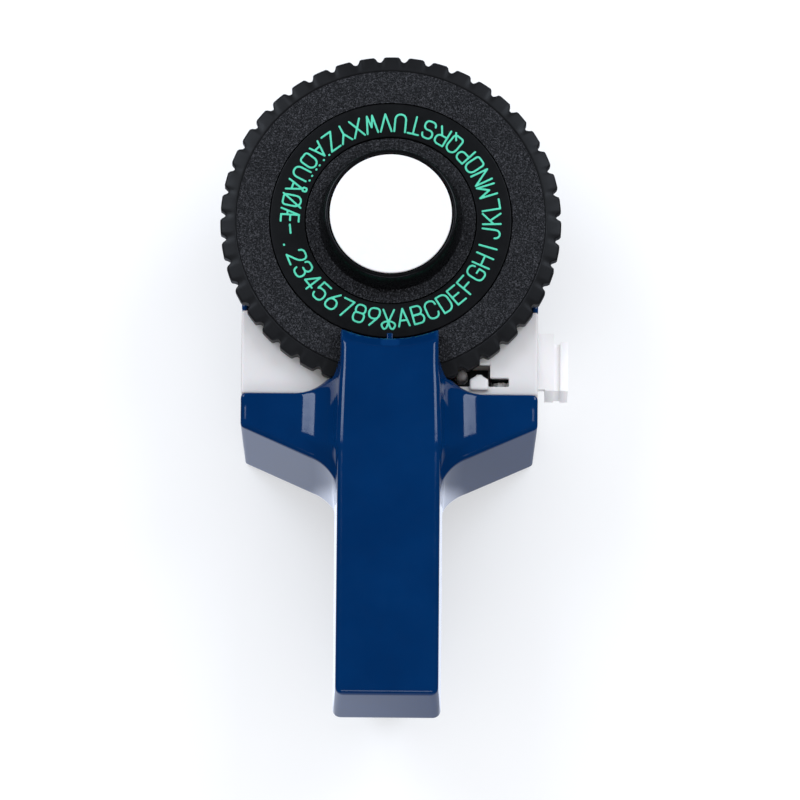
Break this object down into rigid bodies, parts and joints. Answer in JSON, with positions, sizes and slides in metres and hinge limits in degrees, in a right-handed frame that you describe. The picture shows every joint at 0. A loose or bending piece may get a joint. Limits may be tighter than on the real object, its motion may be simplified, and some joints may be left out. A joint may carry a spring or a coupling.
{
  "type": "embossing label maker",
  "caption": "Hand-held embossing label maker: a character dial on a winged pistol-style handle with a squeeze trigger and a slide-out tape drawer.",
  "frame": {"origin": "on the dial's axis, in the plane of the rear housing's back face, on which the tool lies", "axes": "+Z out of the dial's face along its axis; +Y from the handle towards the dial; +X to the right of the dial seen from its face, the way the tape drawer pulls out"},
  "size_m": [0.0825, 0.1557, 0.0518],
  "materials": {
    "shell_blue": "gloss",
    "trigger_blue": "gloss",
    "frame_white": "satin",
    "drawer_white": "satin",
    "dial_black": "grained",
    "ring_black": "smooth satin",
    "knob_black": "satin",
    "cap_white": "satin",
    "press_black": "satin",
    "roller_rubber": "matte",
    "tape": "gloss",
    "steel": "satin",
    "spring_steel": "satin",
    "blade_steel": "ground",
    "screw": "satin"
  },
  "bodies": {
    "casing": {"front_shell": "shell_blue", "rear_shell": "shell_blue", "middle_frame": "frame_white", "anvil_pad": "steel", "cover_plate": "press_black", "cover_pin": "steel", "dial_axle": "steel", "dial_washer": "steel", "dial_screw": "steel", "detent_spring": "spring_steel", "trigger_pin": "steel", "trigger_spring": "spring_steel", "case_screw_1": "screw", "case_screw_2": "screw", "case_screw_3": "screw", "case_screw_4": "screw"},
    "dial": {"dial_front_disc": "dial_black", "dial_rear_disc": "dial_black", "character_ring": "ring_black", "dial_knob": "knob_black", "dial_cap": "cap_white"},
    "trigger": {"trigger_lever": "trigger_blue"},
    "press": {"press_arm": "steel", "press_head": "press_black"},
    "pawl": {"feed_pawl": "press_black"},
    "feed": {"feed_shaft": "steel", "feed_roller": "roller_rubber", "ratchet_wheel": "frame_white"},
    "cutter": {"blade_holder": "press_black", "cutter_blade": "blade_steel"},
    "drawer": {"tape_drawer": "drawer_white"},
    "reel": {"reel_core": "frame_white", "tape_roll": "tape"}
  },
  "joints": [
    {"name": "dial_spin", "type": "hinge", "parent": "casing", "child": "dial", "pos_m": [0, 0, 0.0428], "axis": [0, 0, 1], "continuous": true},
    {"name": "trigger_squeeze", "type": "hinge", "parent": "casing", "child": "trigger", "pos_m": [0, -0.054, 0.012], "axis": [-1, 0, 0], "range_deg": [0, 12], "stiffness_Nm_per_rad": 0.35, "springref_deg": -14.32, "deforming": ["trigger_spring"]},
    {"name": "press_travel", "type": "slide", "parent": "casing", "child": "press", "axis": [0, 0, -1], "range_m": [0, 0.0016]},
    {"name": "pawl_swing", "type": "hinge", "parent": "press", "child": "pawl", "pos_m": [0.0215, -0.0457, 0.03], "axis": [0, -1, 0], "range_deg": [0, 10], "stiffness_Nm_per_rad": 0.004, "springref_deg": -5.73},
    {"name": "feed_spin", "type": "hinge", "parent": "casing", "child": "feed", "pos_m": [0.0268, -0.034, 0.0348], "axis": [0, 1, 0], "continuous": true},
    {"name": "cutter_travel", "type": "slide", "parent": "casing", "child": "cutter", "axis": [0, 0, 1], "range_m": [0, 0.0008], "stiffness_N_per_m": 400, "springref_m": -0.001},
    {"name": "drawer_slide", "type": "slide", "parent": "casing", "child": "drawer", "axis": [1, 0, 0], "range_m": [0, 0.072]},
    {"name": "reel_spin", "type": "hinge", "parent": "drawer", "child": "reel", "pos_m": [0.004, -0.0325, 0.017], "axis": [0, 1, 0], "continuous": true}
  ],
  "couplings": [
    {"joint": "press_travel", "follows": "trigger_squeeze", "m_per_rad": 0.0076394}
  ]
}
